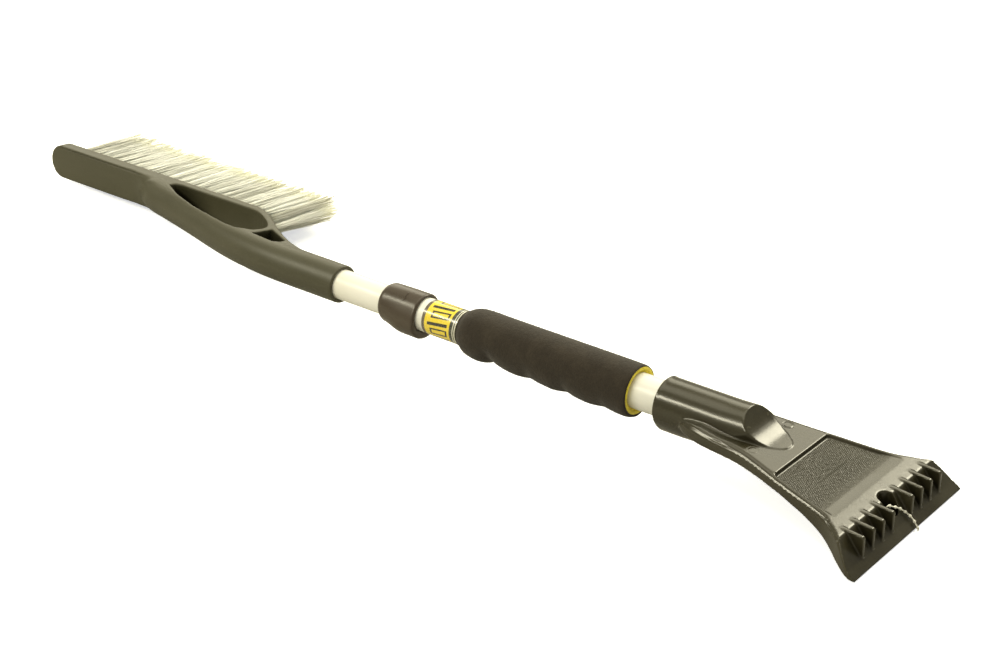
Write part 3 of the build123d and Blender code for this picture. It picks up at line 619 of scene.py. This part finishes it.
def knurl_panel():
    """Small diamond studs on the recess floor, on a thin closed sheet."""
    rows = int((PANEL_END - PANEL_START) / STUD_PITCH) * STUD_STEPS
    columns = int(2 * PANEL_GRID_HALF_WIDTH / STUD_PITCH) * STUD_STEPS
    tree = surface_tree([v.co for v in head.data.vertices], head.data)

    def on_floor(s, y, lift):
        """Point at a lift over the head's upper surface."""
        hit = tree.ray_cast(point(s, y, 12.0), Vector((0, 0, -1)))[0]
        return point(s, y, (hit.z - AXIS_Z) / MM + lift)

    def ridge(across):
        return abs(((across + 300) / STUD_PITCH) % 1 - 0.5) * 2

    verts, faces = [], []
    for i in range(rows + 1):
        s = PANEL_START + (PANEL_END - PANEL_START) * i / rows
        half = panel_half_width(s)
        for j in range(columns + 1):
            y = (-1 + 2 * j / columns) * half
            edge = max(ridge(s + y * STUD_SLANT), ridge(s - y * STUD_SLANT))
            rise = STUD_RISE * min(1.0, 1.8 * (1 - edge))
            # the studs fade and the sheet sinks into the floor at its borders
            inside = max(0.0, min(1.0, (PANEL_END - s) / 8.0, (half - abs(y)) / 1.2,
                                  (s - PANEL_START) / 1.2))
            verts.append(on_floor(s, y, 0.02 + rise * inside - 0.14 * (1 - inside) ** 3))
    width = columns + 1
    for i in range(rows):
        for j in range(columns):
            a = i * width + j
            faces.append((a, a + 1, a + width + 1, a + width))
    # rim and underside close the sheet
    border = list(range(width))
    border += [i * width + columns for i in range(1, rows + 1)]
    border += [rows * width + j for j in range(columns - 1, -1, -1)]
    border += [i * width for i in range(rows - 1, 0, -1)]
    base = len(verts)
    n = len(border)
    verts += [verts[k] - Vector((0, 0, 0.0006)) for k in border]
    for k in range(n):
        after = (k + 1) % n
        faces.append((border[k], border[after], base + after, base + k))
    centre = len(verts)
    verts.append(on_floor((PANEL_START + PANEL_END) / 2, 0, -1.0))
    for k in range(n):
        faces.append((base + k, base + (k + 1) % n, centre))
    return solid("thumb_panel_knurl", verts, faces, smooth=False)


place(knurl_panel(), HEAD_BLACK, "handle")

# ------------------------------------------------------------------ brush body
RAY_START = -10.0                           # reach from which the back is looked for
BACK_STATIONS = np.arange(-352.0, -239.9, 1.0)
BACK_HEIGHTS = np.arange(-13.0, 12.1, 1.0)
BLUR_REACH, BLUR_WIDTH = 24, 7.5            # half length and deviation, in stations


def blurred_along(field):
    """The field blurred lengthwise, columns kept apart."""
    kernel = np.exp(-0.5 * (np.arange(-BLUR_REACH, BLUR_REACH + 1) / BLUR_WIDTH) ** 2)
    kernel /= kernel.sum()
    padded = np.pad(field, ((BLUR_REACH, BLUR_REACH), (0, 0)), mode="edge")
    return np.array([np.convolve(padded[:, k], kernel, "valid")
                     for k in range(padded.shape[1])]).T


def field_at(field, station, up):
    """Bilinear value of a field over the back's stations and heights."""
    row = station - BACK_STATIONS[0]
    column = up - BACK_HEIGHTS[0]
    a = int(row)
    b = max(min(int(column), len(BACK_HEIGHTS) - 2), 0)
    x = row - a
    z = min(max(column - b, 0.0), 1.0)
    return ((field[a, b] * (1 - x) + field[a + 1, b] * x) * (1 - z)
            + (field[a, b + 1] * (1 - x) + field[a + 1, b + 1] * x) * z)


def draw_out_back(co, me):
    """Blend the back, away from the bristles, lengthwise over the end of the arm."""
    tree = surface_tree(co, me)
    direction = (brush_point(0, 1, 0) - brush_point(0, 0, 0)).normalized()

    def back_reach(station, up):
        start = brush_point(station, RAY_START, up)
        hit = tree.ray_cast(start, direction)[0]
        return np.nan if hit is None else (hit - start).length / MM + RAY_START

    field = np.array([[back_reach(a, b) for b in BACK_HEIGHTS] for a in BACK_STATIONS])
    for row in field:
        good = np.nonzero(~np.isnan(row))[0]
        row[:] = np.interp(np.arange(len(row)), good, row[good])
    fade = plateau(BACK_STATIONS, rise=(-340.0, -322.0), fall=(-272.0, -256.0))
    target = field + (blurred_along(field) - field) * fade[:, None]
    s, out, up = brush_coords(co)
    zone = (s > -340) & (s < -256) & (out < 36.5) & (np.abs(up + 0.5) < 12.4)
    for k in np.nonzero(zone)[0]:
        seen = back_reach(s[k], up[k])
        if np.isnan(seen) or abs(seen - out[k]) > 0.5:
            continue
        # the move fades out towards the upper and lower faces
        weight = 1.0 - min(max((abs(up[k] + 0.5) - 10.6) / 1.8, 0.0), 1.0)
        move = (field_at(target, s[k], up[k]) - out[k]) * weight * MM
        co[k, 1] += move * OUT.y
        co[k, 2] += move * OUT.z


def fair_shoulder(body):
    """The arm flows into the bar, and a groove runs along the bar's upper back edge."""
    co, edges = read_mesh(body.data)
    draw_out_back(co, body.data)
    s, out, up = brush_coords(co)
    near = plateau(s, rise=(-322.0, -306.0), fall=(-276.0, -264.0))
    near *= 1 - smoothstep(out, 35.6, 38.0)
    relax_part(co, edges, steps=60, weight=near)
    s, out, up = brush_coords(co)
    line = plateau(s, rise=(-396.0, -388.0), fall=(-306.0, -292.0)) * (out < 38.5)
    groove = 0.8 * MM * line * np.exp(-(((up - 10.6) / 0.6) ** 2))
    co[:, 1] += groove * OUT.y
    co[:, 2] += groove * OUT.z
    write_mesh(body.data, co)


body = moulded("brush_body", "brush_body_moulding", voxel=0.00046, steps=14)
fair_shoulder(body)
place(body, BRUSH_BLACK, "brush", replaces="brush_body")

# ------------------------------------------------------------------ foam grip
GRIP_START, GRIP_END = 44.0, 175.0
GRIP_ROWS, GRIP_SIDES = 176, 132
# station, radius of the grip away from the finger grooves
GRIP = [(44.0, 11.5), (45.0, 11.9), (46.5, 13.0), (48.5, 14.2), (51.0, 15.1), (54.0, 15.7),
        (58.0, 15.95), (64.0, 16.0), (74.0, 15.85), (120.0, 15.8), (168.0, 15.7),
        (173.0, 15.55), (174.3, 15.35), (175.0, 15.0)]
# station, radius on the finger side: crests between the grooves
FINGERS = [(44.0, 11.5), (46.5, 13.0), (50.0, 15.0), (55.0, 16.1), (60.0, 16.4), (65.0, 15.7),
           (71.0, 13.6), (76.5, 14.9), (84.0, 16.1), (90.0, 16.4), (95.0, 16.1),
           (101.0, 15.2), (107.0, 16.1), (118.0, 16.9), (123.0, 16.3), (129.0, 15.4),
           (135.0, 16.5), (145.0, 17.2), (150.5, 16.7), (156.5, 16.0), (162.0, 16.6),
           (169.0, 17.0), (173.0, 16.8), (175.0, 16.0)]
FINGER_ANGLE = math.atan2(-0.844, -0.537)   # down and towards -y
# station, radius from the +x lip through counterbore and bore to the -x nose
GRIP_BORE = [(175.0, 14.78), (169.0, 14.78), (169.0, 11.3), (44.0, 11.3), (43.85, 11.75)]


def turn_angles(count):
    return [2 * math.pi * j / count for j in range(count)]


def grip_radius(s, angle):
    plain = spline_at(s, GRIP)
    weight = smoothstep(math.cos(angle - FINGER_ANGLE), 0.38, 0.96)
    radius = plain + weight * (spline_at(s, FINGERS) - plain)
    q = Vector((s * 0.55, math.cos(angle) * 9, math.sin(angle) * 9))
    return radius + 0.10 * noise.noise(q * 0.9) + 0.06 * noise.noise(q * 2.6)


def foam_grip():
    angles = turn_angles(GRIP_SIDES)
    verts, faces = [], []
    for i in range(GRIP_ROWS + 1):
        s = GRIP_START + (GRIP_END - GRIP_START) * i / GRIP_ROWS
        verts += [around(s, grip_radius(s, angle), angle) for angle in angles]
    for s, radius in GRIP_BORE:
        verts += [around(s, radius, angle) for angle in angles]
    faces = closed_ring_faces(GRIP_ROWS + 1 + len(GRIP_BORE), GRIP_SIDES)
    return solid("foam_grip_skin", verts, faces)


place(foam_grip(), BLACK_FOAM, "handle", replaces="foam_grip")

# station, radius round the section of the yellow ring in the grip's +x end
END_RING = [(169.2, 11.1), (169.2, 14.6), (174.7, 14.65), (175.1, 14.35), (175.2, 13.0),
            (175.0, 12.75), (174.1, 12.6), (174.0, 11.4), (173.7, 11.1)]
END_RING_STEP = 0.45
END_RING_TURNS = 176
END_RING_BUMPS = 0.06


def densify(outline, step):
    """The closed outline with each side cut into pieces of about one step."""
    fine = []
    for (s0, r0), (s1, r1) in zip(outline, outline[1:] + outline[:1]):
        pieces = max(1, int(math.hypot(s1 - s0, r1 - r0) / step))
        fine += [(s0 + (s1 - s0) * t / pieces, r0 + (r1 - r0) * t / pieces)
                 for t in range(pieces)]
    return fine


def end_ring():
    """A slightly bumpy ring of revolution."""
    section = densify(END_RING, END_RING_STEP)
    verts = []
    for angle in turn_angles(END_RING_TURNS):
        for s, r in section:
            q = Vector((s * 1.3 + 1, math.cos(angle) * 11, math.sin(angle) * 11))
            r += END_RING_BUMPS * noise.noise(q * 2.0)
            s += END_RING_BUMPS * noise.noise(q * 2.3 + Vector((7, 3, 1)))
            verts.append(around(s, r, angle))
    faces = closed_ring_faces(END_RING_TURNS, len(section))
    return solid("grip_end_ring_foam", verts, faces)


place(end_ring(), YELLOW_FOAM, "handle", replaces="grip_end_ring")

# ------------------------------------------------------------------ lock collar
COLLAR_TURNS = 160
SWELL_ANGLE = math.radians(-108.0)
SWELL = 3.0
# station, radius of the outside: -x end, a barrel that swells and levels out, +x end
COLLAR_OUTER = (
    [(-20.4, 11.4), (-20.15, 11.95), (-19.5, 12.4), (-18.7, 12.75), (-17.8, 12.95)]
    + [(-17.8 + 27.5 * k / 40, 12.95 + 0.38 * math.sin(math.pi * min(1.0, k / 28.0) / 2))
       for k in range(1, 41)]
    + [(10.25, 13.05), (10.65, 12.75), (10.85, 12.3), (10.9, 11.6)])
# station, radius of the stepped bore, from +x to -x
COLLAR_BORE = [(9.3, 11.03), (-8.4, 11.03), (-8.4, 11.43), (-18.8, 11.43), (-18.8, 10.35),
               (-20.4, 10.35), (-20.4, 10.9)]


def collar():
    """A ring, thicker on its underside and more so towards the grip."""
    verts = []
    for angle in turn_angles(COLLAR_TURNS):
        side = smoothstep(math.cos(angle - SWELL_ANGLE), -0.25, 1.0)
        for s, r in COLLAR_OUTER:
            swell = SWELL * smoothstep(s, -20.0, -2.0) * side
            verts.append(around(s, r + swell * min(1.0, max(0.0, (r - 11.4) / 1.4)), angle))
        verts += [around(s, r, angle) for s, r in COLLAR_BORE]
    faces = closed_ring_faces(COLLAR_TURNS, len(COLLAR_OUTER) + len(COLLAR_BORE))
    return solid("lock_collar_skin", verts, faces)


place(collar(), COLLAR_BLACK, "handle", replaces="lock_collar")

ARROW_STATION = -1.0
ARROW_ANGLES = (120.0, 30.0)
# length round the collar, length along the shaft
ARROW = [(-3.6, -0.45), (0.8, -0.45), (0.8, -1.4), (3.4, 0.0), (0.8, 1.4), (0.8, 0.45),
         (-3.6, 0.45)]
ARROW_LEVELS = [(13.0, 1.0), (13.5, 1.0), (13.6, 0.93)]     # radius, scale of the outline
ARROW_WRAP_RADIUS = 13.3


def arrow(name, middle):
    """A small raised arrow wrapped on the collar."""
    outline = []
    for (u0, v0), (u1, v1) in zip(ARROW, ARROW[1:] + ARROW[:1]):
        outline += [(u0 + (u1 - u0) * t / 4, v0 + (v1 - v0) * t / 4) for t in range(4)]
    verts, faces = [], []
    for radius, scale in ARROW_LEVELS:
        for u, v in outline:
            verts.append(around(ARROW_STATION + v * scale, radius,
                                middle + u * scale / ARROW_WRAP_RADIUS))
    n = len(outline)
    for level in (0, n):
        for i in range(n):
            j = (i + 1) % n
            faces.append((level + i, level + j, level + n + j, level + n + i))
    faces.append(tuple(2 * n + i for i in range(n)))
    faces.append(tuple(range(n - 1, -1, -1)))
    return solid(name, verts, faces, smooth=False, split_ngons=True)


for number, degrees in enumerate(ARROW_ANGLES, 1):
    place(arrow(f"collar_turn_arrow_{number}", math.radians(degrees)), COLLAR_BLACK, "handle")

# ------------------------------------------------------------------ CAD parts that stay
for name, material in (
        ("outer_tube", OUTER_PAINT), ("inner_tube", INNER_PAINT), ("label_sleeve", LABEL),
        ("guide_bush", BUSH_NYLON), ("lock_ring", LOCK_GREY), ("lock_plug", LOCK_GREY),
        ("plug_cap", LOCK_GREY), ("plug_screw", STEEL), ("scraper_screw", STEEL),
        ("brush_screw", STEEL), ("tuft_anchors", BRASS)):
    paint(NODES[name], material)

# ------------------------------------------------------------------ bristles
# node, height, splay in degrees, shift in pitches, tufts
BRISTLE_ROWS = [
    ("bristle_row_top", 8.1, 0.0, 0, 23),
    ("bristle_row_upper", 2.7, 0.0, 0.5, 23),
    ("bristle_row_lower", -2.7, -0.5, 0, 23),
    ("bristle_row_bottom", -8.1, -1.5, 0.5, 21),
]
FIRST_TUFT, TUFT_PITCH = -378.0, 9.4
TUFT_RADIUS = 1.85
FILAMENTS = 52
FILAMENT_SIDES, FILAMENT_RINGS = 4, 6
ROOT_RADIUS, TIP_RADIUS = 0.25, 0.14
ROOT_REACH = 46.0
FREE_LENGTH = 58.4
SEAT = 3.6                                  # how far tufts reach back into the bar
LAST_SEATS = {21: 4.2, 21.5: 5.4, 22: 7.6, 22.5: 10.2}      # the same, by pitches


def filament_faces(base):
    sides, rings = FILAMENT_SIDES, FILAMENT_RINGS
    faces = []
    for q in range(rings):
        a = base + q * sides
        for p in range(sides):
            k = (p + 1) % sides
            faces.append((a + p, a + k, a + sides + k, a + sides + p))
    faces.append(tuple(base + p for p in range(sides - 1, -1, -1)))
    faces.append(tuple(base + rings * sides + p for p in range(sides)))
    return faces


def bristle_row(name, height, splay, shift, tufts, seed):
    rng = random.Random(seed)
    verts, faces, along, tone = [], [], [], []
    for i in range(tufts):
        tuft_station = FIRST_TUFT + (i + shift) * TUFT_PITCH
        seat = LAST_SEATS.get(i + shift, SEAT)
        lean_s = rng.gauss(0, 0.55)
        lean_z = rng.gauss(0, 0.4)
        tuft_tone = rng.random() ** 1.5
        for _ in range(FILAMENTS):
            r = TUFT_RADIUS * math.sqrt(rng.random())
            turn = rng.random() * 2 * math.pi
            ds, dz = r * math.cos(turn), r * math.sin(turn)
            # filaments fan out a little from the tuft's root
            fan = 1.15 + 0.4 * rng.random()
            angle_s = math.radians(lean_s + ds * fan + rng.gauss(0, 0.7))
            angle_z = math.radians(splay + lean_z + dz * 0.75 * fan + rng.gauss(0, 0.45))
            length = FREE_LENGTH + rng.uniform(-2.4, 1.0) - 0.25 * r
            bend_s = rng.gauss(0, 0.9)
            bend_z = rng.gauss(-0.2, 0.7)
            strand_tone = min(1.0, max(0.0, tuft_tone * 0.5 + rng.random() * 0.5))
            faces += filament_faces(len(verts))
            for q in range(FILAMENT_RINGS + 1):
                t = q / FILAMENT_RINGS
                d = -seat + (length + seat) * t
                free = max(d, 0.0)
                out = ROOT_REACH + d * math.cos(angle_z) * math.cos(angle_s)
                s = tuft_station + ds + free * math.sin(angle_s) + bend_s * t * t
                up = height + dz + free * math.sin(angle_z) + bend_z * t * t
                w = ROOT_RADIUS + (TIP_RADIUS - ROOT_RADIUS) * t
                for p in range(FILAMENT_SIDES):
                    a = 2 * math.pi * p / FILAMENT_SIDES + turn
                    verts.append(brush_point(s + w * math.cos(a), out, up + w * math.sin(a)))
                    along.append(t)
                    tone.append(strand_tone)
    o = new_object(name, verts, faces)
    for attribute, values in (("along", along), ("tone", tone)):
        o.data.attributes.new(attribute, "FLOAT", "POINT").data.foreach_set("value", values)
    return o


for seed, (node_name, *row) in enumerate(BRISTLE_ROWS, 11):
    place(bristle_row(node_name + "_filaments", *row, seed), BRISTLE, "brush",
          replaces=node_name)

# ------------------------------------------------------------------ bead tie, hang hole
# station, side, height over the axis of the closed path
TIE_PATH = [(339.4, -3.6, -25.5), (338.8, -3.9, -19.0), (339.3, -4.0, -13.6),
            (341.6, -1.0, -14.4), (343.6, 3.0, -16.8), (346.2, 6.1, -20.0),
            (349.0, 7.6, -23.0), (351.6, 7.2, -25.6), (353.4, 6.6, -27.6),
            (353.0, 5.4, -29.0), (349.4, 2.6, -29.3), (344.4, -0.6, -29.2),
            (340.6, -2.8, -28.4)]
TIE_STEPS, TIE_SIDES = 240, 10
CORD_RADIUS, BEAD_RADIUS, BEAD_PITCH = 0.38, 0.9, 3.9


def bead_tie():
    """A loop of cord with round beads."""
    path, total = smooth_loop([point(*p) for p in TIE_PATH], TIE_STEPS)
    beads = round(total / (BEAD_PITCH * MM))
    side_hint = Vector((0.3, 0.2, 0.93)).normalized()
    verts = []
    for i, p in enumerate(path):
        tangent = (path[(i + 1) % TIE_STEPS] - path[i - 1]).normalized()
        a = tangent.cross(side_hint).normalized()
        b = tangent.cross(a).normalized()
        phase = (i / TIE_STEPS * beads) % 1.0 - 0.5
        x = phase * total / beads / MM          # from the nearest bead's centre
        r = CORD_RADIUS
        if abs(x) < BEAD_RADIUS:
            r = max(r, math.sqrt(BEAD_RADIUS ** 2 - x * x))
        for angle in turn_angles(TIE_SIDES):
            verts.append(p + (a * math.cos(angle) + b * math.sin(angle)) * r * MM)
    return solid("hang_tag_bead_tie", verts, closed_ring_faces(TIE_STEPS, TIE_SIDES))


place(bead_tie(), TIE, "handle")

# ------------------------------------------------------------------ floor (metres)
FLOOR_HALF = 6


def floor_z(x):
    """The floor slopes to pass under both the blade edge and the bristle tips."""
    return -0.0098 - 0.0085 * (x - 0.0126)


def floor_paper(name):
    """Back-lit paper: white to the camera, a darker table to the object."""
    sh = Shader(name)
    clouds = sh.noise(sh.coords(), scale=3.0, detail=4.0)
    seen = sh.add("LightPath").outputs["Is Camera Ray"]
    paper = sh.mix(sh.remap(clouds, span=(0.3, 0.7)), (0.93, 0.93, 0.93), (0.96, 0.96, 0.96))
    sh.surface({"Base Color": sh.mix(seen, (0.50, 0.49, 0.45), paper),
                "Roughness": 0.95, "Specular IOR Level": 0.0,
                "Emission Color": (0.94, 0.96, 1.0),
                "Emission Strength": sh.math("MULTIPLY", seen, 0.62)})
    return sh.material


corners = [(x * FLOOR_HALF, y * FLOOR_HALF) for x, y in ((-1, -1), (1, -1), (1, 1), (-1, 1))]
floor = new_object("floor", [(x, y, floor_z(x)) for x, y in corners], [(0, 1, 2, 3)],
                   smooth=False)
paint(floor, floor_paper("floor_paper"))

# ------------------------------------------------------------------ lights (metres, watts)
world = bpy.data.worlds.new("studio")
world.use_nodes = True
background = world.node_tree.nodes["Background"]
background.inputs["Color"].default_value = (1.0, 0.96, 0.80, 1)
background.inputs["Strength"].default_value = 0.36
scene.world = world

MIDDLE = (-0.25, 0.0, 0.02)
WARM = (1.0, 0.945, 0.73)


def softbox(name, direction, distance, size, power, centre=MIDDLE):
    """A warm area light that shines at the centre from the given direction."""
    towards_light = Vector(direction).normalized()
    light = bpy.data.lights.new(name, "AREA")
    light.shape = "RECTANGLE"
    light.size, light.size_y = size
    light.energy = power
    light.color = WARM
    o = link_object(name, light)
    o.location = Vector(centre) + towards_light * distance
    o.rotation_mode = "QUATERNION"
    o.rotation_quaternion = towards_light.to_track_quat("Z", "Y")


softbox("key_left", direction=(-0.47, -0.65, 0.62), distance=1.6, size=(1.3, 0.17), power=18.0)
softbox("back_wide", direction=(-0.10, 0.78, 0.62), distance=1.7, size=(2.0, 0.75), power=15.0)
softbox("back_spot", direction=(0.12, 0.757, 0.642), distance=1.4, size=(0.45, 0.45),
        power=8.0, centre=(-0.1, 0.0, 0.02))
softbox("back_left", direction=(-0.78, 0.52, 0.36), distance=1.7, size=(0.9, 0.7), power=5.0)
softbox("overhead", direction=(-0.1, 0.1, 1.0), distance=1.9, size=(2.0, 1.4), power=18.0)

# ------------------------------------------------------------------ camera
CAMERA_PLACE = (0.37818528, -0.79135697, 0.52690005)        # metres
CAMERA_RIGHT = (0.7763504865, 0.6302863881, -0.0043578846)
CAMERA_UP = (-0.2756625455, 0.3457466936, 0.8969221732)
CAMERA_BACK = (0.5668245612, -0.6951246599, 0.4421669639)

camera_data = bpy.data.cameras.new("photo_view")
camera_data.sensor_width = 36.0
camera_data.lens = 66.99564
camera_data.clip_start, camera_data.clip_end = 0.05, 50.0
camera = link_object("photo_view", camera_data)
camera.location = CAMERA_PLACE
camera.rotation_mode = "QUATERNION"
camera_axes = Matrix((CAMERA_RIGHT, CAMERA_UP, CAMERA_BACK)).transposed()
camera.rotation_quaternion = camera_axes.to_quaternion()
scene.camera = camera
scene.view_settings.view_transform = "Standard"
scene.view_settings.look = "None"
scene.view_settings.exposure = 0.0
